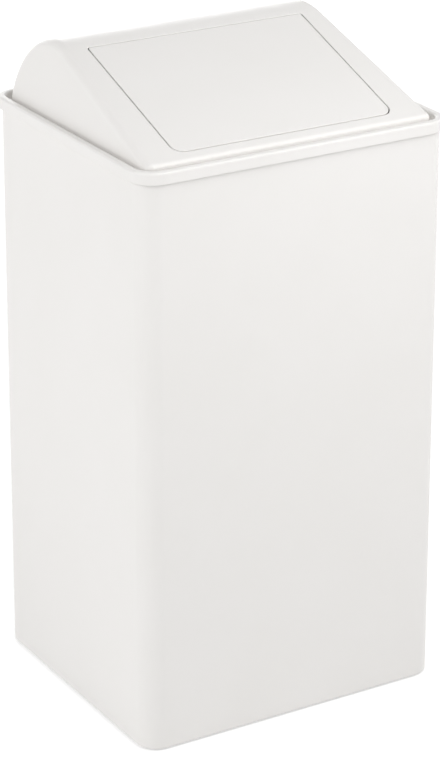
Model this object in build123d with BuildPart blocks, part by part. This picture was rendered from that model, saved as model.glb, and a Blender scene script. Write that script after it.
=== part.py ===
from build123d import *
import math
import os

# A free-standing lidded waste bin: a wrapped sheet-steel body with a lift-off hood, whose sloping
# front holds a sprung push flap. Millimetres, +Z up. The origin is on the floor under the middle
# of the bin, the flap faces -Y, and everything is the same on the left (-X) and the right (+X).

# body
body_width = 350.0
body_depth = 310.0
rim_height = 620.0
foot_stand = 2.0
body_sheet = 1.0
corner_radius = 22.5
top_hem_height = 12.0
bottom_hem_width = 8.0
seam_width = 16.0
seam_stop = 20.0

# base pan, feet and their fixings
base_height = 12.0
base_gap = 0.2
foot_radius = 14.0
foot_taper = 1.5
foot_edge_distance = 35.0
foot_recess_radius = 6.5
foot_recess_depth = 5.0
screw_radius = 2.5
screw_clearance = 0.25
screw_head_radius = 4.5
screw_head_height = 3.0
screw_thread_past_nut = 2.0
washer_radius = 6.0
washer_sheet = 1.0
nut_across_flats = 8.0
nut_height = 4.0

# bag hoop and its brackets
hoop_below_rim = 35.0
hoop_rod_radius = 3.0
hoop_wall_distance = 9.0
hoop_corner_radius = 16.0
hoop_bracket_width = 24.0
hoop_bracket_sheet = 1.5
hoop_bracket_drop = 20.0
hoop_bracket_rise = 9.0
hoop_bracket_corner_distance = 80.0
hoop_fit = 0.1

# rim frame of the lid, a channel that caps the body's top edge
rim_sheet = 1.2
rim_skirt_height = 13.0
rim_outer_gap = 3.0
rim_inner_gap = 1.0
rim_roundness = 2.5
channel_depth = 8.0
channel_weld_lip = 2.5

# hood
hood_sheet = 1.0
hood_inset = 12.0
hood_side_inset = 9.5
hood_slope_angle = 19.3
hood_foot_above_rim = 2.0
hood_back_radius = 74.0
hood_gable_lean = 10.5
hood_fold_radius = 9.0
hood_foot_roundness = 5.0
aperture_lip = 6.0
lip_stop = 3.5

# flap
flap_side_margin = 40.5
flap_foot_margin = 14.0
flap_corner_radius = 12.0
flap_top_corner_radius = 2.0
flap_flange = 10.0
flap_sheet = 1.0
seam_roundness = 0.8
seam_gap = 1.4
top_seam_gap = 0.8

# hinge
axle_radius = 3.0
axle_depth = 12.0
axle_fit = 0.05
ear_radius = 8.0
ear_length = 24.0
bush_wall = 1.5
bush_flange_radius = 7.0
bush_length = 4.0
bush_side_play = 0.5
hinge_bracket_sheet = 2.0
hinge_bracket_reach = 26.0
hinge_bracket_edge = 9.0
hinge_bracket_top_gap = 2.0
clip_radius = 6.0
clip_sheet = 1.0
axle_past_clip = 1.5

# return springs
spring_wire_radius = 0.9
spring_coil_radius = 5.6
spring_turns = 6
spring_pitch = 2.2
spring_ear_gap = 1.2
spring_flap_leg = 34.0
spring_hood_leg = 20.0
spring_touch_gap = 0.2

# flap stops
tongue_width = 30.0
tongue_sheet = 1.5
tongue_inset = 49.0
tongue_start = 5.0
tongue_flange_gap = 0.1
buffer_width = 14.0
buffer_length = 5.0
buffer_lip_gap = 0.5
stop_gap = 0.2

# flap stiffener
stiffener_end_gap = 14.0
stiffener_depth = 8.0
stiffener_web = 24.0
stiffener_flange = 10.0
stiffener_sheet = 0.8

# how far sheets that are folded or welded together run into each other, and how far a cut runs on
sheet_overlap = 0.5
cut_past = 2.0

# levels and half sizes that follow
half_width = body_width / 2
half_depth = body_depth / 2
body_top = rim_height - rim_sheet
body_bottom = foot_stand
hoop_height = rim_height - hoop_below_rim
channel_floor = rim_height - channel_depth
base_top = base_height + body_sheet
lid_rest_depth = 2 * body_sheet + rim_inner_gap

# slope of the hood: a line up from its foot at the front, tangent to the round back
slope = math.radians(hood_slope_angle)
gable_lean = math.radians(hood_gable_lean)
slope_foot_y = hood_inset - half_depth
slope_foot_z = rim_height + hood_foot_above_rim
back_y = half_depth - hood_inset
back_centre_y = back_y - hood_back_radius
back_centre_z = (
    slope_foot_z
    + (back_centre_y - slope_foot_y) * math.tan(slope)
    - hood_back_radius / math.cos(slope)
)
slope_length = (
    back_centre_y - hood_back_radius * math.sin(slope) - slope_foot_y
) / math.cos(slope)

# the slope's own plane: X across, Y up the slope and Z out of the hood
slope_plane = Plane(
    origin=(0, slope_foot_y, slope_foot_z),
    x_dir=(1, 0, 0),
    z_dir=(0, -math.sin(slope), math.cos(slope)),
)

# places on the slope, and the axle under the flap's top edge
flap_width = body_width - 2 * (hood_side_inset + flap_side_margin)
aperture_half = flap_width / 2 + seam_gap
aperture_foot = flap_foot_margin - seam_gap
flap_top = slope_length - top_seam_gap
bush_radius = axle_radius + axle_fit + bush_wall
hinge_bracket_face = aperture_half + hood_sheet
axle_half = hinge_bracket_face + hinge_bracket_sheet + clip_sheet + axle_past_clip
sides = ((-1, "left"), (1, "right"))
ends = ((-1, "front"), (1, "back"))


def section_plane(x):
    """The plane across the bin at x, with its own X up the slope and its own Y out of the hood."""
    return Plane(
        origin=slope_plane.from_local_coords(Vector(x, 0, 0)),
        x_dir=slope_plane.y_dir,
        z_dir=(1, 0, 0),
    )


def plan_ring(inset_outside, inset_inside):
    """A ring in plan that follows the body's outline, between two distances inside its outer face."""
    for inset, mode in ((inset_outside, Mode.ADD), (inset_inside, Mode.SUBTRACT)):
        RectangleRounded(
            body_width - 2 * inset,
            body_depth - 2 * inset,
            corner_radius - inset,
            mode=mode,
        )


def save(block, name):
    """Label one finished piece and write it to its own file."""
    block.part.label = name
    export_step(block.part, f"parts/{name}.step")


os.makedirs("parts", exist_ok=True)

# body shell: one wrapped sheet with a doubled top edge, a turned-in bottom hem and a lap seam behind
with BuildPart() as body_shell:
    with BuildSketch(Plane.XY.offset(body_bottom)):
        plan_ring(0, body_sheet)
    extrude(amount=body_top - body_bottom)
    with BuildSketch(Plane.XY.offset(body_top - top_hem_height)):
        plan_ring(body_sheet - sheet_overlap, 2 * body_sheet)
    extrude(amount=top_hem_height)
    with BuildSketch(Plane.XY.offset(body_bottom)):
        plan_ring(body_sheet - sheet_overlap, body_sheet + bottom_hem_width)
    extrude(amount=body_sheet)
    with BuildSketch(Plane.XZ.offset(-half_depth - body_sheet)):
        with Locations((0, body_bottom)):
            Rectangle(
                seam_width,
                body_top - seam_stop - body_bottom,
                align=(Align.CENTER, Align.MIN),
            )
    extrude(amount=body_sheet + sheet_overlap)
save(body_shell, "body_shell")

# base pan: a floor with its edge turned down onto the body's bottom hem
base_inset = body_sheet + base_gap
foot_spots = [
    (side * (half_width - foot_edge_distance), end * (half_depth - foot_edge_distance))
    for side, side_name in sides
    for end, end_name in ends
]
foot_names = [f"foot_{end_name}_{side_name}" for side, side_name in sides for end, end_name in ends]
with BuildPart() as base_pan:
    with BuildSketch(Plane.XY.offset(body_bottom + body_sheet)):
        plan_ring(base_inset, base_inset + body_sheet)
    extrude(amount=base_top - body_bottom - body_sheet)
    with BuildSketch(Plane.XY.offset(base_height)):
        RectangleRounded(
            body_width - 2 * base_inset,
            body_depth - 2 * base_inset,
            corner_radius - base_inset,
        )
        with Locations(*foot_spots):
            Circle(screw_radius + screw_clearance, mode=Mode.SUBTRACT)
    extrude(amount=body_sheet)
save(base_pan, "base_pan")

# four rubber feet, each a block with a deep recess for its screw's head
for spot, foot_name in zip(foot_spots, foot_names):
    with BuildPart() as foot:
        with BuildSketch(Plane.XY.offset(base_height)):
            with Locations(spot):
                Circle(foot_radius)
        extrude(amount=-base_height, taper=math.degrees(math.atan(foot_taper / base_height)))
        with BuildSketch(Plane.XY):
            with Locations(spot):
                Circle(screw_radius + screw_clearance)
        extrude(amount=base_height, mode=Mode.SUBTRACT)
        with BuildSketch(Plane.XY):
            with Locations(spot):
                Circle(foot_recess_radius)
        extrude(amount=foot_recess_depth, mode=Mode.SUBTRACT)
    save(foot, foot_name)

# screws up through the feet and the base pan, with a washer and a nut inside
washer_top = base_top + washer_sheet
nut_top = washer_top + nut_height
with BuildPart() as foot_screws:
    with BuildSketch(Plane.XY.offset(foot_recess_depth - screw_head_height)):
        with Locations(*foot_spots):
            Circle(screw_head_radius)
    extrude(amount=screw_head_height)
    with BuildSketch(Plane.XY.offset(foot_recess_depth)):
        with Locations(*foot_spots):
            Circle(screw_radius)
    extrude(amount=nut_top + screw_thread_past_nut - foot_recess_depth)
save(foot_screws, "foot_screws")

with BuildPart() as foot_washers:
    with BuildSketch(Plane.XY.offset(base_top)):
        with Locations(*foot_spots):
            Circle(washer_radius)
            Circle(screw_radius + screw_clearance, mode=Mode.SUBTRACT)
    extrude(amount=washer_sheet)
save(foot_washers, "foot_washers")

with BuildPart() as foot_nuts:
    with BuildSketch(Plane.XY.offset(washer_top)):
        with Locations(*foot_spots):
            RegularPolygon(nut_across_flats / 2, 6, major_radius=False)
            Circle(screw_radius + axle_fit, mode=Mode.SUBTRACT)
    extrude(amount=nut_height)
save(foot_nuts, "foot_nuts")

# bag hoop: a rod bent to the body's outline, which the bag's edge folds over
hoop_half_x = half_width - body_sheet - hoop_wall_distance
hoop_half_y = half_depth - body_sheet - hoop_wall_distance
with BuildPart() as bag_hoop:
    with BuildLine(Plane.XY.offset(hoop_height)):
        FilletPolyline(
            (0, -hoop_half_y),
            (hoop_half_x, -hoop_half_y),
            (hoop_half_x, hoop_half_y),
            (0, hoop_half_y),
            radius=hoop_corner_radius,
        )
    with BuildSketch(Plane(origin=(0, -hoop_half_y, hoop_height), z_dir=(1, 0, 0))):
        Circle(hoop_rod_radius)
    sweep()
    mirror(about=Plane.YZ)
save(bag_hoop, "bag_hoop")

# hoop brackets: a strip on the side wall, folded out and rolled round the hoop's rod
hoop_eye = hoop_rod_radius + hoop_fit
for side, side_name in sides:
    for end, end_name in ends:
        bracket_plane = Plane(
            origin=(
                side * (half_width - body_sheet),
                end * (half_depth - hoop_bracket_corner_distance),
                hoop_height,
            ),
            x_dir=(-side, 0, 0),
            z_dir=(0, side, 0),
        )
        with BuildPart() as hoop_bracket:
            with BuildSketch(bracket_plane):
                with Locations((0, hoop_bracket_rise)):
                    Rectangle(
                        hoop_bracket_sheet,
                        hoop_bracket_rise + hoop_bracket_drop,
                        align=(Align.MIN, Align.MAX),
                    )
                Rectangle(
                    hoop_wall_distance,
                    hoop_bracket_sheet,
                    align=(Align.MIN, Align.CENTER),
                )
                with Locations((hoop_wall_distance, 0)):
                    Circle(hoop_eye + hoop_bracket_sheet)
                    Circle(hoop_eye, mode=Mode.SUBTRACT)
            extrude(amount=hoop_bracket_width / 2, both=True)
        save(hoop_bracket, f"hoop_bracket_{side_name}_{end_name}")

# rim frame: the skirt outside the body, the rounded top that rests on it, and the channel inside
rim_out = -rim_outer_gap - rim_sheet
rim_in = lid_rest_depth + rim_sheet
with BuildPart() as rim_frame:
    with BuildSketch(Plane.XY.offset(rim_height - rim_skirt_height)):
        plan_ring(rim_out, -rim_outer_gap)
    extrude(amount=rim_skirt_height)
    with BuildSketch(Plane.XY.offset(rim_height - rim_sheet)):
        plan_ring(rim_out, rim_in)
    extrude(amount=rim_sheet)
    with BuildSketch(Plane.XY.offset(channel_floor - rim_sheet)):
        plan_ring(lid_rest_depth, rim_in)
    extrude(amount=channel_depth + rim_sheet)
    with BuildSketch(Plane.XY.offset(channel_floor - rim_sheet)):
        plan_ring(lid_rest_depth, hood_inset + channel_weld_lip)
    extrude(amount=rim_sheet)
    fillet(rim_frame.faces().sort_by(Axis.Z)[-1].edges(), rim_roundness)
save(rim_frame, "rim_frame")


def hood_block(skin, foot_z):
    """A solid of the hood's outer shape, moved in by skin and standing at foot_z."""
    front = slope_foot_y + skin
    back = back_y - skin
    radius = hood_back_radius - skin
    tangent_y = back_centre_y - radius * math.sin(slope)
    tangent_z = back_centre_z + radius * math.cos(slope)
    bend_z = tangent_z - (tangent_y - front) * math.tan(slope)
    crown_z = back_centre_z + hood_back_radius
    gable_half = half_width - hood_side_inset - skin / math.cos(gable_lean)
    foot_half = gable_half + (channel_floor - foot_z) * math.tan(gable_lean)
    crown_half = gable_half - (crown_z - channel_floor) * math.tan(gable_lean)
    with BuildPart() as block:
        with BuildSketch(Plane.YZ):
            with BuildLine():
                Polyline((back, foot_z), (front, foot_z), (front, bend_z), (tangent_y, tangent_z))
                CenterArc(
                    (back_centre_y, back_centre_z),
                    radius,
                    90 + hood_slope_angle,
                    -90 - hood_slope_angle,
                )
                Line((back, back_centre_z), (back, foot_z))
            make_face()
        extrude(amount=body_width, both=True)
        with BuildSketch(Plane.XZ):
            with BuildLine():
                Polyline(
                    (-foot_half, foot_z),
                    (foot_half, foot_z),
                    (crown_half, crown_z),
                    (-crown_half, crown_z),
                    close=True,
                )
            make_face()
        extrude(amount=body_depth, both=True, mode=Mode.INTERSECT)
        left_gable, *others, right_gable = block.faces().sort_by(Axis.X)
        gable_edges = left_gable.edges() + right_gable.edges()
        fillet(gable_edges.filter_by(Axis.Y, reverse=True), hood_fold_radius - skin)
        bend = block.edges().filter_by(Axis.X).group_by(Axis.Y)[0].sort_by(Axis.Z)[-1]
        fillet(bend, hood_foot_roundness - skin)
    return block.part


def flap_outline(outset, top, mode=Mode.ADD):
    """The flap's outline on the slope, grown by outset, with its upper edge at top."""
    half = flap_width / 2 + outset
    foot = flap_foot_margin - outset
    lower = flap_corner_radius + outset
    upper = flap_top_corner_radius + outset
    with BuildLine() as outline:
        FilletPolyline(
            (-half, foot),
            (half, foot),
            (half, top),
            (-half, top),
            radius=(lower, lower, upper, upper),
            close=True,
        )
    make_face(outline.edges(), mode=mode)


hood_outside = hood_block(0, channel_floor)
hood_inside = hood_block(hood_sheet, channel_floor - hood_sheet)


def on_aperture(edge):
    """Whether an edge is one where the aperture opens through the hood's outer face."""
    place = slope_plane.to_local_coords(edge.center())
    return abs(place.Z) < seam_roundness and abs(place.X) < hinge_bracket_face and place.Y > 0


# hood: one pressed sheet, open underneath, with the flap's aperture and its turned-in lip
with BuildPart() as hood_shell:
    add(hood_outside)
    add(hood_inside, mode=Mode.SUBTRACT)
    with BuildSketch(slope_plane.offset(sheet_overlap - hood_sheet)):
        flap_outline(seam_gap + hood_sheet, slope_length)
        with Locations((0, flap_top - lip_stop)):
            Rectangle(
                2 * (hinge_bracket_face + cut_past),
                slope_length,
                align=(Align.CENTER, Align.MIN),
                mode=Mode.SUBTRACT,
            )
    extrude(amount=-sheet_overlap - aperture_lip)
    with BuildSketch(slope_plane.offset(cut_past)):
        flap_outline(seam_gap, slope_length)
    extrude(amount=-cut_past - hood_sheet - aperture_lip - cut_past, mode=Mode.SUBTRACT)
    fillet(hood_shell.edges().filter_by(on_aperture), seam_roundness)
save(hood_shell, "hood_shell")

# flap: one pressed sheet, turned down on three sides, with an ear for the axle at each upper end
slope_out = Axis((0, 0, 0), slope_plane.z_dir)
with BuildPart() as flap_panel:
    with BuildSketch(slope_plane):
        flap_outline(0, flap_top)
    extrude(amount=-flap_flange)
    fillet(flap_panel.faces().sort_by(slope_out)[-1].edges(), seam_roundness)
    with BuildSketch(slope_plane.offset(-flap_sheet)):
        flap_outline(-flap_sheet, flap_top + flap_top_corner_radius + cut_past)
    extrude(amount=-flap_flange, mode=Mode.SUBTRACT)
    for side in (-1, 1):
        with BuildSketch(section_plane(side * flap_width / 2)):
            with Locations((flap_top, -axle_depth)):
                Circle(ear_radius)
            with Locations((flap_top - ear_length, -flap_flange)):
                Rectangle(flap_sheet, flap_flange / 2, align=(Align.MIN, Align.MIN))
            make_hull()
        extrude(amount=-side * flap_sheet)
    with BuildSketch(section_plane(-flap_width / 2)):
        with Locations((flap_top, -axle_depth)):
            Circle(bush_radius + axle_fit)
    extrude(amount=flap_width, mode=Mode.SUBTRACT)
save(flap_panel, "flap_panel")

# bushes in the flap's ears, with a flange that keeps the ear off the hood
for side, side_name in sides:
    with BuildPart() as flap_bush:
        with BuildSketch(section_plane(side * flap_width / 2)):
            with Locations((flap_top, -axle_depth)):
                Circle(bush_flange_radius)
                Circle(axle_radius + axle_fit, mode=Mode.SUBTRACT)
        extrude(amount=side * (seam_gap - bush_side_play))
        with BuildSketch(section_plane(side * flap_width / 2)):
            with Locations((flap_top, -axle_depth)):
                Circle(bush_radius)
                Circle(axle_radius + axle_fit, mode=Mode.SUBTRACT)
        extrude(amount=-side * bush_length)
    save(flap_bush, f"flap_bush_{side_name}")

# flap stiffener: a hat section across the flap's underside
stiffener_middle = (flap_foot_margin + flap_top) / 2
stiffener_top = -flap_sheet - stiffener_sheet / 2
stiffener_bottom = stiffener_top - stiffener_depth
with BuildPart() as flap_stiffener:
    with BuildSketch(section_plane(stiffener_end_gap - flap_width / 2)):
        with BuildLine():
            Polyline(
                (stiffener_middle - stiffener_web / 2 - stiffener_flange, stiffener_top),
                (stiffener_middle - stiffener_web / 2, stiffener_top),
                (stiffener_middle - stiffener_web / 2, stiffener_bottom),
                (stiffener_middle + stiffener_web / 2, stiffener_bottom),
                (stiffener_middle + stiffener_web / 2, stiffener_top),
                (stiffener_middle + stiffener_web / 2 + stiffener_flange, stiffener_top),
            )
        trace(line_width=stiffener_sheet)
    extrude(amount=flap_width - 2 * stiffener_end_gap)
save(flap_stiffener, "flap_stiffener")

# stop tongues behind the flap's foot, and the rubber buffers on the hood that they close against
tongue_back = flap_foot_margin + flap_sheet + tongue_sheet
tongue_top = -flap_flange - tongue_flange_gap
buffer_end = aperture_foot - hood_sheet - buffer_lip_gap
for side, side_name in sides:
    tongue_middle = side * (flap_width / 2 - tongue_inset)
    with BuildPart() as stop_tongue:
        with BuildSketch(section_plane(tongue_middle)):
            with Locations((tongue_back, tongue_top - tongue_sheet)):
                Rectangle(
                    tongue_sheet,
                    tongue_sheet - tongue_top - flap_sheet,
                    align=(Align.MAX, Align.MIN),
                )
                Rectangle(
                    tongue_back - tongue_start,
                    tongue_sheet,
                    align=(Align.MAX, Align.MIN),
                )
        extrude(amount=tongue_width / 2, both=True)
    save(stop_tongue, f"stop_tongue_{side_name}")
    with BuildPart() as stop_buffer:
        with BuildSketch(section_plane(tongue_middle)):
            with Locations((buffer_end, -hood_sheet)):
                Rectangle(
                    buffer_length,
                    -tongue_top - stop_gap - hood_sheet,
                    align=(Align.MAX, Align.MAX),
                )
        extrude(amount=buffer_width / 2, both=True)
    save(stop_buffer, f"stop_buffer_{side_name}")

# hinge brackets on the outside of the aperture's lip, which carry the axle
hinge_bracket_top = -hood_sheet - hinge_bracket_top_gap
for side, side_name in sides:
    with BuildPart() as hinge_bracket:
        with BuildSketch(section_plane(side * hinge_bracket_face)):
            with BuildLine():
                Polyline(
                    (flap_top - hinge_bracket_reach, hinge_bracket_top),
                    (slope_length, hinge_bracket_top),
                    (flap_top + hinge_bracket_edge, -axle_depth / 2),
                    (flap_top + hinge_bracket_edge, -axle_depth - hinge_bracket_edge),
                    (flap_top - hinge_bracket_edge, -axle_depth - hinge_bracket_edge),
                    (flap_top - hinge_bracket_reach, -flap_flange),
                    close=True,
                )
            make_face()
            with Locations((flap_top, -axle_depth)):
                Circle(axle_radius + axle_fit, mode=Mode.SUBTRACT)
        extrude(amount=side * hinge_bracket_sheet)
    save(hinge_bracket, f"hinge_bracket_{side_name}")

with BuildPart() as hinge_axle:
    with BuildSketch(section_plane(-axle_half)):
        with Locations((flap_top, -axle_depth)):
            Circle(axle_radius)
    extrude(amount=2 * axle_half)
save(hinge_axle, "hinge_axle")

with BuildPart() as axle_clips:
    for side in (-1, 1):
        with BuildSketch(section_plane(side * (hinge_bracket_face + hinge_bracket_sheet))):
            with Locations((flap_top, -axle_depth)):
                Circle(clip_radius)
                Circle(axle_radius + axle_fit, mode=Mode.SUBTRACT)
        extrude(amount=side * clip_sheet)
save(axle_clips, "axle_clips")

# return springs: a coil round the axle, one leg under the flap and one under the hood's back
wire_reach = spring_wire_radius + spring_touch_gap
flap_leg_tip = Vector(-spring_flap_leg, axle_depth - flap_sheet - wire_reach)
hood_drop = hood_back_radius - math.sqrt(hood_back_radius**2 - spring_hood_leg**2)
hood_leg_tip = Vector(spring_hood_leg, axle_depth - hood_sheet - hood_drop - wire_reach)
tip_turns = [
    math.acos(spring_coil_radius / tip.length) for tip in (flap_leg_tip, hood_leg_tip)
]
coil_start = math.atan2(flap_leg_tip.Y, flap_leg_tip.X) - tip_turns[0]
coil_end = math.atan2(hood_leg_tip.Y, hood_leg_tip.X) + tip_turns[1]
coil_turn = 2 * math.pi * spring_turns + coil_start - coil_end
coil_height = spring_pitch * coil_turn / (2 * math.pi)
pitch_rise = spring_pitch / (2 * math.pi)
leg_lengths = [
    math.sqrt(tip.length**2 - spring_coil_radius**2) for tip in (flap_leg_tip, hood_leg_tip)
]


def coil_point(turn, along):
    """A point on the coil's helix at a turn in radians, moved along its tangent there."""
    tangent = Vector(
        -spring_coil_radius * math.sin(turn),
        spring_coil_radius * math.cos(turn),
        pitch_rise,
    ).normalized()
    on_helix = Vector(
        spring_coil_radius * math.cos(turn),
        spring_coil_radius * math.sin(turn),
        pitch_rise * turn,
    )
    return on_helix + tangent * along


with BuildPart() as spring_wire:
    with BuildLine():
        Line(coil_point(0, -leg_lengths[0]), coil_point(0, 0))
        Helix(spring_pitch, coil_height, spring_coil_radius)
        Line(coil_point(coil_turn, 0), coil_point(coil_turn, leg_lengths[1]))
    with BuildSketch(
        Plane(
            origin=coil_point(0, -leg_lengths[0]),
            z_dir=coil_point(0, 0) - coil_point(0, -leg_lengths[0]),
        )
    ):
        Circle(spring_wire_radius)
    sweep()

coil_x = flap_width / 2 - bush_length - spring_ear_gap - spring_wire_radius
coil_plane = Plane(
    origin=section_plane(coil_x).from_local_coords(Vector(flap_top, -axle_depth, 0)),
    x_dir=slope_plane.y_dir * math.cos(coil_start) + slope_plane.z_dir * math.sin(coil_start),
    z_dir=(-1, 0, 0),
)
with BuildPart() as spring_right:
    add(coil_plane.from_local_coords(spring_wire.part))
save(spring_right, "spring_right")

with BuildPart() as spring_left:
    mirror(spring_right.part, about=Plane.YZ)
save(spring_left, "spring_left")
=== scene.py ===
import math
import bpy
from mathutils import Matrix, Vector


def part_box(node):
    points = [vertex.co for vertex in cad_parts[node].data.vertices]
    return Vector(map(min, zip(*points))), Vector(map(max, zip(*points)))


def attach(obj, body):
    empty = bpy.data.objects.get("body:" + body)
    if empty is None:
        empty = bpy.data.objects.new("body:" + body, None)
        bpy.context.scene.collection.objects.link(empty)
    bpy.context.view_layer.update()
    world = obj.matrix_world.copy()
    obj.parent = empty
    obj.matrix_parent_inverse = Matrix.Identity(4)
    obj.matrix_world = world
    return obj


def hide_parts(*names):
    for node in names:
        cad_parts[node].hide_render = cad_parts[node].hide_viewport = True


bl_info = {
    "name": "Lidded waste bin",
    "version": (1, 0, 0),
    "blender": (4, 5, 0),
    "location": "3D Viewport > Sidebar > Waste bin",
    "description": "Builds the sheet-steel waste bin's visible pieces, finishes and studio",
    "category": "Object",
}

import bmesh
import bpy
import numpy as np
from bpy.props import FloatProperty, PointerProperty, StringProperty
from mathutils import Matrix, Vector

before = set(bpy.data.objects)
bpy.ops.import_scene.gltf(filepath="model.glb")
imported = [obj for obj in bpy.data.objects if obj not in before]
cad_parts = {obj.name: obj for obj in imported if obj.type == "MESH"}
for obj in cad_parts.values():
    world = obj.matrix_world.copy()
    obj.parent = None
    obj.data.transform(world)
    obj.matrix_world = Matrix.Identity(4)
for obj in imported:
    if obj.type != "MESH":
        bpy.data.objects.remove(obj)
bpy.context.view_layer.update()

MM = 0.001
UP = np.array((0.0, 0.0, 1.0))
# points nearer to each other than this are one point
MERGE = 0.002 * MM
FEET = ("foot_front_left", "foot_back_left", "foot_front_right", "foot_back_right")

# the body's outer faces and levels; its depth is taken at the front, because a lap stands behind the back
body_low, body_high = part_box("body_shell")
rim_low, rim_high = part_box("rim_frame")
half_width = body_high.x
half_depth = -body_low.y


def length(name, description, default):
    """A size property in metres, given in millimetres."""
    return FloatProperty(
        name=name,
        description=description,
        default=default * MM,
        min=0.0,
        precision=5,
        unit="LENGTH",
        subtype="DISTANCE",
    )


def level(name, description, default):
    """A property for a light's share of white."""
    return FloatProperty(
        name=name, description=description, default=default, min=0.0, max=1.0, subtype="FACTOR"
    )


def colour(name, description, default):
    """A colour property, as an sRGB hex value."""
    return StringProperty(name=name, description=description, default=default)


class WasteBinSheet(bpy.types.PropertyGroup):
    """Sizes of the body's and the rim's folds, hems and welds."""

    corner_radius: length("Corner radius", "Plan radius of the body's four upright corners", 22.5)
    body_sheet: length("Body sheet", "Thickness of the body's sheet", 1.0)
    hem_height: length("Top hem", "Height of the doubled sheet at the body's top edge", 12.0)
    foot_hem: length("Bottom hem", "Width of the hem turned in under the body", 9.0)
    rim_sheet: length("Rim sheet", "Thickness of the rim frame's sheet", 1.2)
    rim_gap: length("Rim gap", "Gap between the body's wall and the rim's skirt", 3.0)
    rim_crown: length("Rim rounding", "Radius of the rim's rounded top edge", 2.6)
    rim_hem: length("Rim hem", "Height of the hem folded up inside the skirt", 5.5)
    channel_start: length("Channel start", "How far in the rim's top turns down into its channel", 3.0)
    channel_depth: length("Channel depth", "Depth of the channel behind the rim", 8.0)
    channel_reach: length("Channel reach", "How far in the channel's floor reaches", 14.5)
    seam_width: length("Lap seam", "Width of the lap seam down the back", 16.0)
    seam_stop: length("Seam stop", "How far below the body's top edge the lap seam stops", 20.0)
    weld_pitch: length("Weld spacing", "Distance from one spot weld to the next", 30.0)
    weld_dent: length("Weld dent", "Depth of a spot weld's dent", 0.3)


class WasteBinStops(bpy.types.PropertyGroup):
    """Sizes of the flap's stops, buffers and stiffener."""

    buffer_edge: length("Buffer edge", "Rounding of the rubber buffers' edges", 0.9)
    sheet_edge: length("Sheet edge", "Rounding of the cut edges of the stops and stiffener", 0.24)
    tongue_sheet: length("Tongue sheet", "Thickness of the stop tongues' sheet", 1.5)
    tongue_bend: length("Tongue bend", "Inner radius of the tongues' bend, round the flap's flange", 0.1)
    stiffener_sheet: length("Stiffener sheet", "Thickness of the stiffener's sheet", 0.8)
    stiffener_bend: length("Stiffener bend", "Inner radius of the stiffener's bends", 0.8)


class WasteBinFixings(bpy.types.PropertyGroup):
    """Sizes of the rubber feet, and of their screws and nuts."""

    tread_radius: length("Tread radius", "Radius of the face that a foot stands on", 12.5)
    groove_radius: length("Groove radius", "Radius of the middle of the groove round the tread", 9.9)
    groove_width: length("Groove width", "Width of that groove at its mouth", 2.0)
    groove_depth: length("Groove depth", "Depth of that groove", 0.6)
    recess_radius: length("Recess radius", "Radius of the recess that holds the screw's head", 6.5)
    recess_depth: length("Recess depth", "Depth of that recess", 5.0)
    bore_radius: length("Foot bore", "Radius of a foot's hole for the screw", 2.8)
    head_radius: length("Head radius", "Radius of a screw's head", 4.5)
    head_height: length("Head height", "Height of a screw's head", 3.0)
    crown_width: length("Crown width", "How far in the head's rounding reaches", 1.1)
    crown_height: length("Crown height", "How high the head's rounding reaches", 1.6)
    socket_radius: length("Socket radius", "Half the width of a head's socket across its flats", 1.5)
    socket_depth: length("Socket depth", "Depth of that socket", 1.8)
    shank_radius: length("Shank radius", "Outer radius of a screw's thread", 2.5)
    thread_start: length("Thread start", "Height above the head's end at which the thread begins", 10.0)
    thread_pitch: length("Thread pitch", "Rise of the thread in one turn", 0.8)
    thread_depth: length("Thread depth", "Depth of the thread", 0.28)
    small_edge: length("Small edge", "Size of the smallest chamfers on the screws", 0.1)
    nut_radius: length("Nut radius", "Half the width of a nut across its flats", 4.0)
    nut_bore: length("Nut bore", "Radius of a nut's bore", 2.55)
    nut_chamfer: length("Nut chamfer", "Size of the chamfer at the ends of a nut's bore", 0.3)


class WasteBinColours(bpy.types.PropertyGroup):
    """Colours of the finishes, as sRGB hex values."""

    coat: colour("Powder coat", "The white outer coat", "f2f0ee")
    coat_shade: colour("Powder coat, thin", "The coat where it lies a little thinner", "efedea")
    inner: colour("Inner coat", "The primer-like coat inside", "e6e5e2")
    rubber: colour("Rubber", "Feet and buffers", "2b2b2c")
    rubber_bloom: colour("Rubber, bloomed", "The rubber where its skin has gone paler", "333334")
    zinc: colour("Zinc plate", "Axle, hoop and fixings", "c9ccd0")
    zinc_shade: colour("Zinc plate, dull", "The plating where it is duller", "b4b8bf")
    spring: colour("Spring wire", "Drawn spring steel", "8b8c8e")
    spring_shade: colour("Spring wire, oiled", "The wire where oil darkens it", "76777a")
    nylon: colour("Nylon", "Bushes of the flap's hinge", "ece7d9")
    nylon_shade: colour("Nylon, shaded", "The nylon where it is a little darker", "e4dfd0")
    floor: colour("Floor", "The studio's floor", "e2e2e2")


class WasteBinStudio(bpy.types.PropertyGroup):
    """Levels of the studio's light that no lamp gives."""

    ambient: level("Ambient light", "The white world's strength as light on the bin", 0.4)
    near_glow: level("Floor glow", "The floor's own light to the camera, near the bin", 0.46)
    far_glow: level("Far floor glow", "The same, where the lamps no longer reach", 0.7)


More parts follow.
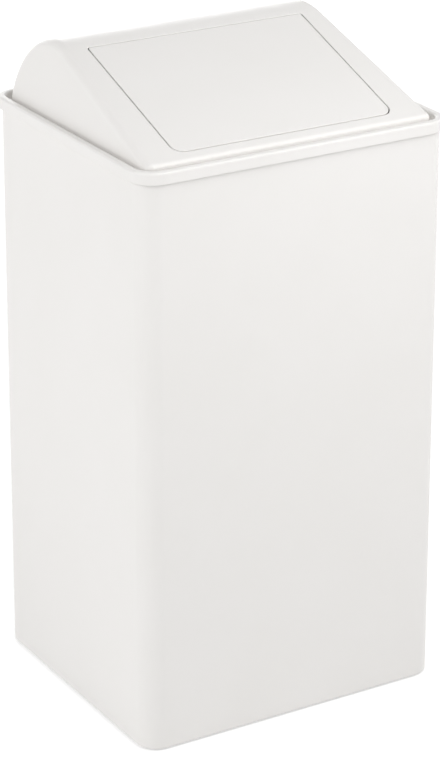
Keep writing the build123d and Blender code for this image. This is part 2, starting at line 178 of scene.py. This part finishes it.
def grid_mesh(name, points, close_rows=True):
    """A smooth mesh over a grid of points, in metres. Each row is a closed ring, and with close_rows the last
    row joins the first. Each quad joins a point to the next in its row and column. Doubled points at seams
    and poles are merged, and the faces are turned outwards where the signed volume, a sixth of the sum of
    each triangle's triple product, is negative."""
    rows, columns = points.shape[:2]
    row = np.arange(rows if close_rows else rows - 1)[:, None]
    column = np.arange(columns)
    next_row, next_column = (row + 1) % rows, (column + 1) % columns
    quads = np.stack(
        [
            row * columns + column,
            row * columns + next_column,
            next_row * columns + next_column,
            next_row * columns + column,
        ],
        axis=-1,
    ).reshape(-1, 4)
    flat = points.reshape(-1, 3)
    a, b, c, d = (flat[quads[:, k]] for k in range(4))
    volume = (a * (np.cross(b, c) + np.cross(c, d))).sum()
    if volume < 0:
        quads = quads[:, ::-1]
    mesh = bpy.data.meshes.new(name)
    mesh.from_pydata(flat.tolist(), [], quads.tolist())
    work = bmesh.new()
    work.from_mesh(mesh)
    bmesh.ops.remove_doubles(work, verts=work.verts, dist=MERGE)
    work.to_mesh(mesh)
    work.free()
    mesh.shade_smooth()
    return mesh


def join_meshes(name, meshes):
    """One smooth mesh from several, in order."""
    work = bmesh.new()
    for mesh in meshes:
        work.from_mesh(mesh)
        bpy.data.meshes.remove(mesh)
    joined = bpy.data.meshes.new(name)
    work.to_mesh(joined)
    work.free()
    joined.shade_smooth()
    return joined


def place(mesh, finish, body, slot, *nodes):
    """A finished piece under its mesh's name, in a finish, on the body that it rides on, with the CAD nodes
    that it stands for. The slot argument is not used."""
    piece = bpy.data.objects.new(mesh.name, mesh)
    bpy.context.scene.collection.objects.link(piece)
    mesh.materials.append(bpy.data.materials[finish])
    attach(piece, body)
    if nodes:
        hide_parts(*nodes)


def unit(vectors):
    """Vectors at length one."""
    return vectors / np.linalg.norm(vectors, axis=-1, keepdims=True)


def rounded_outline(corners, steps, ease):
    """A closed outline through corners that each give their two coordinates and a radius. Each corner gives
    way to an arc: its centre lies on the corner's bisector, its radius divided by the sine of the corner's
    half angle away, and its points are the two end radii blended by the sines of the shares of the turn. A
    point on each straight next to an arc, ease away or a third of the straight if that is less, keeps the
    flats flat."""
    corner, radius = np.split(np.array(corners, float), [2], axis=1)
    before = unit(np.roll(corner, 1, axis=0) - corner)
    after = unit(np.roll(corner, -1, axis=0) - corner)
    half = np.arccos(np.clip((before * after).sum(axis=1), -1, 1))[:, None] / 2
    centre = corner + unit(before + after) * radius / np.sin(half)
    first = corner + before * radius / np.tan(half)
    last = corner + after * radius / np.tan(half)
    turn = (math.pi - 2 * half)[:, None]
    share = np.linspace(0, 1, steps)[None, :, None]
    arc = (
        centre[:, None]
        + np.sin((1 - share) * turn) / np.sin(turn) * (first - centre)[:, None]
        + np.sin(share * turn) / np.sin(turn) * (last - centre)[:, None]
    )
    straight = np.roll(first, -1, axis=0) - last
    step = np.minimum(ease, np.linalg.norm(straight, axis=1, keepdims=True) / 3) * unit(straight)
    ends = np.stack([last + step, np.roll(first, -1, axis=0) - step], axis=1)
    return np.concatenate([arc, ends], axis=1).reshape(-1, 2)


def ring_path(half_x, half_y, radius, steps=25, ease=3 * MM):
    """A rounded rectangle in plan with its outward directions: about each corner's centre a quarter turn
    at the radius, and a point on the straight at either end of it."""
    turn = np.radians(np.concatenate([[0], np.linspace(0, 90, steps), [90]]))
    slide = np.concatenate([[-ease], np.zeros(steps), [ease]])[:, None]
    turns = turn + np.radians(90) * np.arange(4)[:, None]
    outward = np.stack([np.cos(turns), np.sin(turns), 0 * turns], axis=-1)
    along = np.stack([-np.sin(turns), np.cos(turns), 0 * turns], axis=-1)
    signs = np.array([(1, 1, 0), (-1, 1, 0), (-1, -1, 0), (1, -1, 0)])
    centre = signs * np.array((half_x - radius, half_y - radius, 0))
    path = centre[:, None] + radius * outward + slide * along
    return path.reshape(-1, 3), outward.reshape(-1, 3)


def circle_path(x, y, z, steps=64):
    """A centre repeated, with its outward directions once round."""
    turn = np.linspace(0, 2 * math.pi, steps, endpoint=False)
    outward = np.stack([np.cos(turn), np.sin(turn), 0 * turn], axis=-1)
    return np.broadcast_to(np.array((x, y, z)), outward.shape), outward


def carried(profile, path, outward):
    """A profile carried along a path: each point is the path's point, plus the outward direction times the
    profile's first number, plus straight up times its second."""
    return path[:, None] + outward[:, None] * profile[None, :, :1] + UP * profile[None, :, 1:]


def about(middle, radius, turn, height):
    """Points at a radius and a turn about an upright line through a middle."""
    x = middle.x + radius * np.cos(turn)
    y = middle.y + radius * np.sin(turn)
    return np.stack(np.broadcast_arrays(x, y, height), axis=-1)


def hexagon(turn):
    """The radius of a hexagon of inner radius one, with a corner on the X axis, over a turn: one over the
    cosine of the angle from the middle of the nearest side."""
    return 1 / np.cos(np.mod(turn, math.pi / 3) - math.pi / 6)


def linear(hex_colour):
    """An sRGB hex colour as the linear RGBA that a shader takes."""
    values = [int(hex_colour[i : i + 2], 16) / 255 for i in (0, 2, 4)]
    return [v / 12.92 if v <= 0.04045 else ((v + 0.055) / 1.055) ** 2.4 for v in values] + [1.0]


def add_node(tree, kind, settings=None, inputs=None):
    """One node of a kind, with its settings, and with its sockets set to values or linked to outputs."""
    node = tree.nodes.new(kind)
    for name, value in (settings or {}).items():
        setattr(node, name, value)
    for name, value in (inputs or {}).items():
        if isinstance(value, bpy.types.NodeSocket):
            tree.links.new(value, node.inputs[name])
        else:
            node.inputs[name].default_value = value
    return node


def new_material(name, values):
    """The node tree and the Principled shader of a new material. The shader's own sockets hold the values,
    and it is linked to the output."""
    material = bpy.data.materials.new(name)
    material.use_nodes = True
    tree = material.node_tree
    tree.nodes.clear()
    shader = add_node(tree, "ShaderNodeBsdfPrincipled", inputs=values)
    add_node(tree, "ShaderNodeOutputMaterial", inputs={"Surface": shader.outputs["BSDF"]})
    return tree, shader


def surface(name, values, colours, cloud, roughness, grain, depth):
    """A finish whose colour and roughness drift over clouds of one size, and whose skin is raised by a
    finer grain of another size and depth, all in millimetres."""
    tree, shader = new_material(name, values)
    point = add_node(tree, "ShaderNodeTexCoord").outputs["Object"]
    clouds = add_node(
        tree, "ShaderNodeTexNoise", inputs={"Vector": point, "Scale": 1 / (cloud * MM)}
    ).outputs["Fac"]
    grains = add_node(
        tree, "ShaderNodeTexNoise", inputs={"Vector": point, "Scale": 1 / (grain * MM)}
    ).outputs["Fac"]
    tint = add_node(
        tree,
        "ShaderNodeMix",
        {"data_type": "RGBA"},
        {0: clouds, 6: linear(colours[0]), 7: linear(colours[1])},
    )
    # the noise lies mostly between 0.3 and 0.7
    rough = add_node(
        tree,
        "ShaderNodeMapRange",
        inputs={
            "Value": clouds,
            "From Min": 0.3,
            "From Max": 0.7,
            "To Min": roughness[0],
            "To Max": roughness[1],
        },
    )
    bump = add_node(
        tree, "ShaderNodeBump", inputs={"Strength": 1.0, "Distance": depth * MM, "Height": grains}
    )
    tree.links.new(tint.outputs[2], shader.inputs["Base Color"])
    tree.links.new(rough.outputs["Result"], shader.inputs["Roughness"])
    tree.links.new(bump.outputs["Normal"], shader.inputs["Normal"])


# the finish that each CAD node wears, by how the node's name starts
WORN_BY = {
    "powder_coated_steel": ("body_shell", "rim_frame", "hood_shell", "flap_panel"),
    "thin_powder_coat": (
        "base_pan",
        "flap_stiffener",
        "hoop_bracket_",
        "hinge_bracket_",
        "stop_tongue_",
    ),
    "moulded_rubber": ("foot_front_", "foot_back_", "stop_buffer_"),
    "zinc_plated_steel": (
        "foot_screws",
        "foot_washers",
        "foot_nuts",
        "bag_hoop",
        "hinge_axle",
        "axle_clips",
    ),
    "drawn_spring_steel": ("spring_",),
    "moulded_nylon": ("flap_bush_",),
}


class WASTEBIN_OT_finishes(bpy.types.Operator):
    """Make the finishes and put them on the CAD pieces that stay"""

    bl_idname = "waste_bin.finishes"
    bl_label = "Finishes"

    def execute(self, context):
        colours = context.scene.waste_bin_colours
        # powder coat, sprayed dry and baked: an even satin white with a soft sheen and a faint orange peel
        surface(
            "powder_coated_steel",
            {"IOR": 1.5},
            (colours.coat_shade, colours.coat),
            cloud=90,
            roughness=(0.33, 0.4),
            grain=2.4,
            depth=0.004,
        )
        # the same coat, thinner inside: flatter and greyer, so that it hardly reflects
        surface(
            "thin_powder_coat",
            {"IOR": 1.5},
            (colours.inner, colours.coat_shade),
            cloud=60,
            roughness=(0.46, 0.56),
            grain=1.6,
            depth=0.006,
        )
        # moulded rubber: near black and matt, with a fine skin from its mould
        surface(
            "moulded_rubber",
            {"IOR": 1.5},
            (colours.rubber, colours.rubber_bloom),
            cloud=25,
            roughness=(0.58, 0.72),
            grain=0.5,
            depth=0.02,
        )
        # electroplated zinc: a cool grey metal whose brightness drifts, over a slightly rough ground
        surface(
            "zinc_plated_steel",
            {"Metallic": 1.0},
            (colours.zinc, colours.zinc_shade),
            cloud=6,
            roughness=(0.26, 0.4),
            grain=0.8,
            depth=0.006,
        )
        # drawn spring wire: a darker, oily metal with a tight gloss
        surface(
            "drawn_spring_steel",
            {"Metallic": 1.0},
            (colours.spring, colours.spring_shade),
            cloud=3,
            roughness=(0.24, 0.34),
            grain=0.4,
            depth=0.004,
        )
        # moulded nylon: a warm, slightly waxy off-white that light enters a little
        surface(
            "moulded_nylon",
            {"IOR": 1.53, "Subsurface Weight": 0.15, "Subsurface Scale": 1 * MM},
            (colours.nylon, colours.nylon_shade),
            cloud=8,
            roughness=(0.36, 0.46),
            grain=0.7,
            depth=0.005,
        )
        finish_of = {start: name for name, starts in WORN_BY.items() for start in starts}
        for node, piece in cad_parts.items():
            names = [name for start, name in finish_of.items() if node.startswith(start)]
            if len(names) != 1:
                raise RuntimeError(f"{node} has {len(names)} finishes")
            piece.data.materials.clear()
            piece.data.materials.append(bpy.data.materials[names[0]])
        return {"FINISHED"}


class WASTEBIN_OT_body(bpy.types.Operator):
    """Wrap the body's wall with its hems, and lap its seam down the back"""

    bl_idname = "waste_bin.body"
    bl_label = "Body shell"

    def execute(self, context):
        sizes = context.scene.waste_bin_sheet
        profile = self.profile(sizes, body_low.z, body_high.z)
        path, outward = ring_path(half_width, half_depth, sizes.corner_radius)
        wall = grid_mesh("body_wall", carried(profile, path, outward))
        place(wall, "powder_coated_steel", "bin", "white_enamel", "body_shell")
        seam = grid_mesh("lap_seam", self.seam(sizes, body_low.z, body_high.z), close_rows=False)
        place(seam, "powder_coated_steel", "bin", "white_enamel")
        return {"FINISHED"}

    def profile(self, sizes, foot, top):
        """The wall's section, as distance out from its outer face and height: one sheet, doubled over inside
        at the top and turned in at the foot."""
        sheet = sizes.body_sheet
        hem = top - sizes.hem_height
        corners = [
            (0, foot, 1.6 * sheet),
            (0, top, 0.95 * sheet),
            (-2 * sheet, top, 0.95 * sheet),
            (-2 * sheet, hem, 0.45 * sheet),
            (-sheet, hem, 0.15 * sheet),
            (-sheet, foot + sheet, 0.6 * sheet),
            (-sizes.foot_hem, foot + sheet, 0.4 * sheet),
            (-sizes.foot_hem, foot, 0.4 * sheet),
        ]
        return rounded_outline(corners, steps=7, ease=sheet)

    def seam(self, sizes, foot, top):
        """The lap of the wrapped sheet. Across it the height is one sheet, with a quarter-round edge, and at
        both ends it falls to nothing the same way. Each spot weld takes off a bell curve of its dent and
        leaves a low ring round it. The back of the lap lies just inside the wall."""
        sheet, half = sizes.body_sheet, sizes.seam_width / 2
        inside = 0.2 * sheet
        dent_radius, ring_radius, ring_width, ring_share = 1.9 * MM, 3.0 * MM, 0.6 * MM, 0.25
        stop = top - sizes.seam_stop
        welds = np.arange(foot + sizes.weld_pitch / 2, stop - sizes.weld_pitch / 3, sizes.weld_pitch)
        above = np.array([0.7, 1.4, 2.1, 2.7, 3.3, 4, 5.5]) * MM
        near = np.concatenate([-above[::-1], [0], above])
        ease = sheet * (1 - np.cos(np.linspace(0, math.pi / 2, 7)))
        z = np.concatenate([foot + ease, (welds[:, None] + near).ravel(), (stop - ease)[::-1]])[:, None]
        flat = half - 1.6 * sheet
        x = np.concatenate([-half + ease, np.linspace(-flat, flat, 31), (half - ease)[::-1]])[None]

        def quarter_round(from_edge):
            return np.sqrt(1 - np.clip(1 - from_edge / sheet, 0, 1) ** 2)

        edge = quarter_round(half - abs(x)) * quarter_round(np.minimum(z - foot, stop - z))
        offset = z - welds[np.abs(z - welds).argmin(axis=1)][:, None]
        radius = np.sqrt(x**2 + offset**2)
        ring = ring_share * np.exp(-(((radius - ring_radius) / ring_width) ** 2))
        dent = np.exp(-((radius / dent_radius) ** 2)) - ring
        height = edge * (sheet - sizes.weld_dent * (dent + ring_share)) - inside * (edge == 0)
        outer = np.stack(np.broadcast_arrays(x, half_depth + height, z), axis=-1)
        inner = np.stack(np.broadcast_arrays(x, half_depth - inside, z), axis=-1)[:, ::-1]
        return np.concatenate([outer, inner], axis=1)


class WASTEBIN_OT_rim(bpy.types.Operator):
    """Roll the lid's rim frame: hemmed skirt, rounded top, channel and weld lip"""

    bl_idname = "waste_bin.rim"
    bl_label = "Rim frame"

    def execute(self, context):
        sizes = context.scene.waste_bin_sheet
        profile = self.profile(sizes, rim_low.z, rim_high.z)
        path, outward = ring_path(half_width, half_depth, sizes.corner_radius)
        rim = grid_mesh("rolled_rim", carried(profile, path, outward))
        place(rim, "powder_coated_steel", "lid", "white_enamel", "rim_frame")
        return {"FINISHED"}

    def profile(self, sizes, skirt, top):
        """The rim's section, as distance out from the body's face and height: down the outside, and back up
        through the hem."""
        sheet, gap, crown = sizes.rim_sheet, sizes.rim_gap, sizes.rim_crown
        inner, reach = -sizes.channel_start, -sizes.channel_reach
        floor, hem = top - sizes.channel_depth, skirt + sizes.rim_hem
        fold = 1.15 * MM
        corners = [
            (gap + sheet, skirt, fold),
            (gap + sheet, top, crown),
            (inner - sheet, top, crown - 0.2 * MM),
            (inner - sheet, floor, 1.2 * MM),
            (reach, floor, 0.5 * MM),
            (reach, floor - sheet, 0.5 * MM),
            (inner, floor - sheet, 1.8 * MM),
            (inner, top - sheet, 1.2 * MM),
            (gap, top - sheet, crown - sheet),
            (gap, hem, 0.15 * MM),
            (gap - sheet, hem, 0.5 * MM),
            (gap - sheet, skirt, fold),
        ]
        return rounded_outline(corners, steps=9, ease=1 * MM)


class WASTEBIN_OT_feet(bpy.types.Operator):
    """Mould the four rubber feet"""

    bl_idname = "waste_bin.feet"
    bl_label = "Rubber feet"

    def execute(self, context):
        sizes = context.scene.waste_bin_fixings
        for node in FEET:
            low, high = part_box(node)
            middle = (low + high) / 2
            profile = self.profile(sizes, (high.x - low.x) / 2, high.z - low.z)
            path, outward = circle_path(middle.x, middle.y, low.z)
            foot = grid_mesh(f"rubber_{node}", carried(profile, path, outward))
            place(foot, "moulded_rubber", "bin", "rubber", node)
        return {"FINISHED"}

    def profile(self, sizes, radius, height):
        """Half of a foot's section, as radius and height above the tread: a cone down to the tread, a groove
        whose sides slant from its mouth to its bottom, and the recess for the screw's head below the bore."""
        mouth = sizes.groove_width / 2
        bottom = 0.6 * mouth
        edge = 0.2 * MM
        corners = [
            (sizes.bore_radius, height, edge),
            (radius, height, 0.5 * MM),
            (sizes.tread_radius, 0, 1.0 * MM),
            (sizes.groove_radius + mouth, 0, edge),
            (sizes.groove_radius + bottom, sizes.groove_depth, edge),
            (sizes.groove_radius - bottom, sizes.groove_depth, edge),
            (sizes.groove_radius - mouth, 0, edge),
            (sizes.recess_radius, 0, 0.9 * MM),
            (sizes.recess_radius, sizes.recess_depth, 0.5 * MM),
            (sizes.bore_radius, sizes.recess_depth, edge),
        ]
        return rounded_outline(corners, steps=6, ease=0.5 * MM)


class WASTEBIN_OT_fixings(bpy.types.Operator):
    """Turn the feet's socket-head screws and hexagon nuts"""

    bl_idname = "waste_bin.fixings"
    bl_label = "Screws and nuts"

    def execute(self, context):
        sizes = context.scene.waste_bin_fixings
        middles = [(low + high) / 2 for low, high in map(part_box, FEET)]
        low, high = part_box("foot_screws")
        grids = [self.screw(sizes, middle, low.z, high.z) for middle in middles]
        screws = join_meshes("socket_screws", [grid_mesh("screw", grid, close_rows=False) for grid in grids])
        place(screws, "zinc_plated_steel", "bin", "zinc_plated_steel", "foot_screws")
        low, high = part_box("foot_nuts")
        grids = [self.nut(sizes, middle, low.z, high.z) for middle in middles]
        nuts = join_meshes("hexagon_nuts", [grid_mesh("nut", grid) for grid in grids])
        place(nuts, "zinc_plated_steel", "bin", "zinc_plated_steel", "foot_nuts")
        return {"FINISHED"}

    def screw(self, sizes, middle, foot, top):
        """A pan-head screw that stands on its head. Its rows climb a profile of radius and height: up out of
        the socket, over the head's flat and a quarter ellipse round it, along the shank and the thread, and
        over the tip. The socket's rows take the hexagon's radius, and the thread's rows lose a triangle wave
        of height less turn."""
        turn = np.linspace(0, 2 * math.pi, 48, endpoint=False)[None]
        edge, shank, stop = sizes.small_edge, sizes.shank_radius, top - foot
        socket = [
            (0, sizes.socket_depth),
            (sizes.socket_radius, sizes.socket_depth - 2 * edge),
            (sizes.socket_radius, 3 * edge),
            (sizes.socket_radius + edge, 0),
        ]
        swing = np.linspace(0, math.pi / 2, 7)
        crown = np.stack(
            [
                sizes.head_radius - sizes.crown_width * (1 - np.sin(swing)),
                sizes.crown_height * (1 - np.cos(swing)),
            ],
            axis=1,
        )
        collar = [
            (sizes.head_radius, sizes.head_height - edge),
            (sizes.head_radius - edge, sizes.head_height),
            (shank + edge, sizes.head_height),
            (shank, sizes.head_height + edge),
            (shank, sizes.thread_start - 2 * edge),
        ]
        head = np.concatenate([[(sizes.socket_radius + 4 * edge, 0)], crown, collar])
        climb = np.arange(sizes.thread_start, stop - 5 * edge, sizes.thread_pitch / 8)
        thread = np.stack([np.full(climb.shape, shank), climb], axis=1)
        tip = [(shank - 3 * edge, stop - edge), (shank - 4 * edge, stop), (0, stop)]
        stretches = (socket, head, thread, tip)
        radius, height = np.concatenate(stretches).T[..., None]
        rows = [len(stretch) for stretch in stretches]
        is_socket, is_thread = (np.repeat(marks, rows)[:, None] for marks in ((1, 0, 0, 0), (0, 0, 1, 0)))
        wave = np.abs(2 * np.mod(height / sizes.thread_pitch - turn / (2 * math.pi), 1) - 1)
        radius = radius * (1 + is_socket * (hexagon(turn) - 1)) - is_thread * sizes.thread_depth * wave
        return about(middle, radius, turn, foot + height)

    def nut(self, sizes, middle, foot, top):
        """A hexagon nut. Its outside takes the smaller of the hexagon's radius and a cone's, which begins a
        little inside the flats and widens by the slope times the depth below either face. Its bore is round,
        with a small chamfer."""
        turn = np.linspace(0, 2 * math.pi, 96, endpoint=False)[None]
        tall = top - foot
        slope, inside_flats = 1.7, 0.25 * MM
        depths = np.array([0, 0.04, 0.1, 0.2, 0.3, 0.4, 0.5, 0.7]) * MM
        outside = np.concatenate([depths, tall - depths[::-1]])[:, None]
        cone = sizes.nut_radius - inside_flats + slope * np.minimum(outside, tall - outside)
        chamfer = sizes.nut_chamfer
        inside = np.array([tall, tall - chamfer, chamfer, 0])[:, None]
        bore = sizes.nut_bore + np.array([chamfer, 0, 0, chamfer])[:, None] + 0 * turn
        radius = np.concatenate([np.minimum(sizes.nut_radius * hexagon(turn), cone), bore])
        return about(middle, radius, turn, foot + np.concatenate([outside, inside]))


class WASTEBIN_OT_stops(bpy.types.Operator):
    """Bend the flap's stop tongues and its stiffener, and mould the rubber buffers"""

    bl_idname = "waste_bin.stops"
    bl_label = "Stops and stiffener"

    def execute(self, context):
        sizes = context.scene.waste_bin_stops
        edge = sizes.sheet_edge
        for side in ("left", "right"):
            node = f"stop_buffer_{side}"
            buffer = self.shaped(node, f"moulded_buffer_{side}", sizes.buffer_edge)
            place(buffer, "moulded_rubber", "lid", "rubber", node)
            node = f"stop_tongue_{side}"
            tongue = self.shaped(node, f"bent_tongue_{side}", edge, sizes.tongue_sheet, sizes.tongue_bend)
            place(tongue, "thin_powder_coat", "flap", "inner_white_paint", node)
        node = "flap_stiffener"
        hat = self.shaped(node, "hat_stiffener", edge, sizes.stiffener_sheet, sizes.stiffener_bend)
        place(hat, "thin_powder_coat", "flap", "inner_white_paint", node)
        return {"FINISHED"}

    def shaped(self, node, name, rounding, sheet=0.0, bend=0.0):
        """A merged copy of a node's mesh with its triangles joined to flat faces. The inner edge of each turn
        of its sheet gives way to an arc of the bend's radius, and the outer edge to an arc of that radius
        and the sheet. All edges that are still sharp are then rounded."""
        flat, sharp = math.radians(1), math.radians(45)
        work = bmesh.new()
        work.from_mesh(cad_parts[node].data)
        bmesh.ops.remove_doubles(work, verts=work.verts, dist=MERGE)
        bmesh.ops.dissolve_limit(work, angle_limit=flat, verts=work.verts, edges=work.edges)
        if sheet:
            turns = [edge for edge in work.edges if self.is_turn(edge, sheet)]
            outer = [edge for edge in turns if edge.is_convex]
            inner = [edge for edge in turns if not edge.is_convex]
            self.round_off(work, outer, bend + sheet, 6)
            self.round_off(work, inner, bend, 6)
        self.round_off(work, [edge for edge in work.edges if edge.calc_face_angle() > sharp], rounding, 4)
        mesh = bpy.data.meshes.new(name)
        mesh.from_pydata(*self.in_order(work))
        work.free()
        mesh.shade_flat()
        return mesh

    def in_order(self, work):
        """A mesh's points, no edges and its faces, in order of place, because a bevel leaves them in another
        order each run."""
        points = sorted(tuple(vert.co) for vert in work.verts)
        number = {point: index for index, point in enumerate(points)}
        faces = []
        for face in work.faces:
            ring = [number[tuple(vert.co)] for vert in face.verts]
            start = ring.index(min(ring))
            faces.append(ring[start:] + ring[:start])
        return points, [], sorted(faces)

    def is_turn(self, edge, sheet):
        """Whether an edge runs along X between two faces that are both wider than one and a half sheets."""
        along = abs(edge.verts[0].co.x - edge.verts[1].co.x) / edge.calc_length()
        width = min(face.calc_area() for face in edge.link_faces) / edge.calc_length()
        return along > 0.9 and width > 1.5 * sheet

    def round_off(self, work, edges, radius, steps):
        """Edges that give way to arcs of a radius, in steps."""
        bmesh.ops.bevel(work, geom=edges, offset=radius, segments=steps, profile=0.5, affect="EDGES")


# the camera's place in metres, its turn to the right, down and about its own line of sight in degrees, the
# focal length and the height of the picture in its pixels, and the shift as a share of the longer side
CAMERA_PLACE = (-1.4983, -2.504, 1.5282)
CAMERA_TURNS = (30.929, 19.613, 0.075)
CAMERA_FOCAL = 3017.1
PICTURE_HEIGHT = 757
CAMERA_SHIFT = -0.2

# lamps: name, degrees round from the front towards +X, degrees up, metres away, metres across, watts
LAMPS = (
    ("front_near", 10, 28, 1.3, 0.8, 5.1),
    ("front_high", 20, 55, 1.3, 0.8, 1.5),
    ("front_far", 60, 35, 3.0, 2.0, 20.2),
    ("left_low", -78, 9, 1.4, 0.8, 2.0),
    ("left_behind", -115, 5, 1.4, 0.8, 1.7),
    ("left_far", -85, 25, 3.0, 2.0, 24.7),
    ("back_fill", 165, 6, 3.0, 2.0, 30.0),
)
LAMP_AIM = (0, 0, 0.4)

# the floor's half side, and how far from the bin its glow begins and ends to grow, in metres
FLOOR_REACH = 20.0
GLOW_START, GLOW_END = 1.5, 5.0


class WASTEBIN_OT_stage(bpy.types.Operator):
    """Set up the camera, the pale floor, the lamps and the world"""

    bl_idname = "waste_bin.stage"
    bl_label = "Studio"

    def execute(self, context):
        scene = context.scene
        scene.view_settings.view_transform = "Standard"
        self.camera(scene)
        self.floor(scene)
        for row in LAMPS:
            self.lamp(scene, *row)
        self.world(scene)
        return {"FINISHED"}

    def camera(self, scene):
        """The photograph's view: turned 31 degrees to the right from a place in front, and tipped down."""
        yaw, pitch, roll = (math.radians(turn) for turn in CAMERA_TURNS)
        forward = Vector(
            (math.sin(yaw) * math.cos(pitch), math.cos(yaw) * math.cos(pitch), -math.sin(pitch))
        )
        across = Vector((math.cos(yaw), -math.sin(yaw), 0))
        upward = across.cross(forward)
        right = across * math.cos(roll) + upward * math.sin(roll)
        upward = right.cross(forward)
        data = bpy.data.cameras.new("camera")
        data.sensor_width = 36
        data.lens = CAMERA_FOCAL / PICTURE_HEIGHT * data.sensor_width
        data.shift_y = CAMERA_SHIFT
        data.clip_start, data.clip_end = 0.1, 100
        camera = bpy.data.objects.new("camera", data)
        turned = Matrix((right, upward, -forward)).transposed().to_4x4()
        camera.matrix_world = Matrix.Translation(CAMERA_PLACE) @ turned
        scene.collection.objects.link(camera)
        scene.camera = camera

    def floor(self, scene):
        """A matt white floor. Seen by the camera or in gloss it glows a little, and more out where the lamps
        don't reach, so that it meets the white world without an edge and still keeps the bin's shadow."""
        mesh = bpy.data.meshes.new("floor")
        corners = [(x * FLOOR_REACH, y * FLOOR_REACH, 0) for x, y in ((-1, -1), (1, -1), (1, 1), (-1, 1))]
        mesh.from_pydata(corners, [], [(0, 1, 2, 3)])
        floor = bpy.data.objects.new("floor", mesh)
        scene.collection.objects.link(floor)
        tree, shader = new_material(
            "matt_floor",
            {
                "Base Color": linear(scene.waste_bin_colours.floor),
                "Roughness": 0.9,
                "Specular IOR Level": 0.1,
                "Emission Color": (1, 1, 1, 1),
            },
        )
        point = add_node(tree, "ShaderNodeTexCoord").outputs["Object"]
        away = add_node(tree, "ShaderNodeVectorMath", {"operation": "LENGTH"}, {0: point})
        fade = add_node(
            tree,
            "ShaderNodeMapRange",
            {"interpolation_type": "SMOOTHSTEP"},
            {
                "Value": away.outputs["Value"],
                "From Min": GLOW_START,
                "From Max": GLOW_END,
                "To Min": scene.waste_bin_studio.near_glow,
                "To Max": scene.waste_bin_studio.far_glow,
            },
        )
        glow = self.seen(tree, 0.0, fade.outputs["Result"])
        tree.links.new(glow, shader.inputs["Emission Strength"])
        mesh.materials.append(bpy.data.materials["matt_floor"])

    def seen(self, tree, otherwise, value):
        """A number that is value for rays from the camera, in gloss and through glass, else otherwise."""
        path = add_node(tree, "ShaderNodeLightPath")
        direct = add_node(
            tree,
            "ShaderNodeMath",
            {"operation": "MAXIMUM"},
            {0: path.outputs["Is Camera Ray"], 1: path.outputs["Is Glossy Ray"]},
        )
        either = add_node(
            tree,
            "ShaderNodeMath",
            {"operation": "MAXIMUM"},
            {0: direct.outputs[0], 1: path.outputs["Is Transmission Ray"]},
        )
        return add_node(
            tree,
            "ShaderNodeMapRange",
            inputs={"Value": either.outputs[0], "To Min": otherwise, "To Max": value},
        ).outputs["Result"]

    def lamp(self, scene, name, around, above, distance, size, watts):
        """A square soft box that faces the middle of the bin."""
        around, above = math.radians(around), math.radians(above)
        direction = Vector(
            (math.sin(around) * math.cos(above), -math.cos(around) * math.cos(above), math.sin(above))
        )
        data = bpy.data.lights.new(name, "AREA")
        data.shape = "SQUARE"
        data.size = size
        data.energy = watts
        lamp = bpy.data.objects.new(name, data)
        lamp.visible_camera = False
        turned = direction.to_track_quat("Z", "Y").to_matrix().to_4x4()
        lamp.matrix_world = Matrix.Translation(Vector(LAMP_AIM) + direction * distance) @ turned
        scene.collection.objects.link(lamp)

    def world(self, scene):
        """White to the camera and in reflections, and dimmer as light on the bin."""
        world = bpy.data.worlds.new("studio")
        scene.world = world
        world.use_nodes = True
        tree = world.node_tree
        tree.nodes.clear()
        strength = self.seen(tree, scene.waste_bin_studio.ambient, 1.0)
        sky = add_node(
            tree, "ShaderNodeBackground", inputs={"Color": (1, 1, 1, 1), "Strength": strength}
        )
        add_node(tree, "ShaderNodeOutputWorld", inputs={"Surface": sky.outputs["Background"]})


GROUPS = {
    "waste_bin_sheet": WasteBinSheet,
    "waste_bin_stops": WasteBinStops,
    "waste_bin_fixings": WasteBinFixings,
    "waste_bin_colours": WasteBinColours,
    "waste_bin_studio": WasteBinStudio,
}

OPERATORS = (
    WASTEBIN_OT_finishes,
    WASTEBIN_OT_body,
    WASTEBIN_OT_rim,
    WASTEBIN_OT_feet,
    WASTEBIN_OT_fixings,
    WASTEBIN_OT_stops,
    WASTEBIN_OT_stage,
)


class VIEW3D_PT_waste_bin(bpy.types.Panel):
    """The waste bin's pieces, sizes, colours and light"""

    bl_idname = "VIEW3D_PT_waste_bin"
    bl_label = "Waste bin"
    bl_space_type = "VIEW_3D"
    bl_region_type = "UI"
    bl_category = "Waste bin"

    def draw(self, context):
        for operator in OPERATORS:
            self.layout.operator(operator.bl_idname)
        for name, group in GROUPS.items():
            box = self.layout.box()
            for setting in group.__annotations__:
                box.prop(getattr(context.scene, name), setting)


CLASSES = (*GROUPS.values(), *OPERATORS, VIEW3D_PT_waste_bin)


def register():
    for cls in CLASSES:
        bpy.utils.register_class(cls)
    for name, group in GROUPS.items():
        setattr(bpy.types.Scene, name, PointerProperty(type=group))


def unregister():
    for name in GROUPS:
        delattr(bpy.types.Scene, name)
    for cls in reversed(CLASSES):
        bpy.utils.unregister_class(cls)


def main():
    register()
    for operator in OPERATORS:
        group, name = operator.bl_idname.split(".")
        getattr(getattr(bpy.ops, group), name)()


if __name__ == "__main__":
    main()
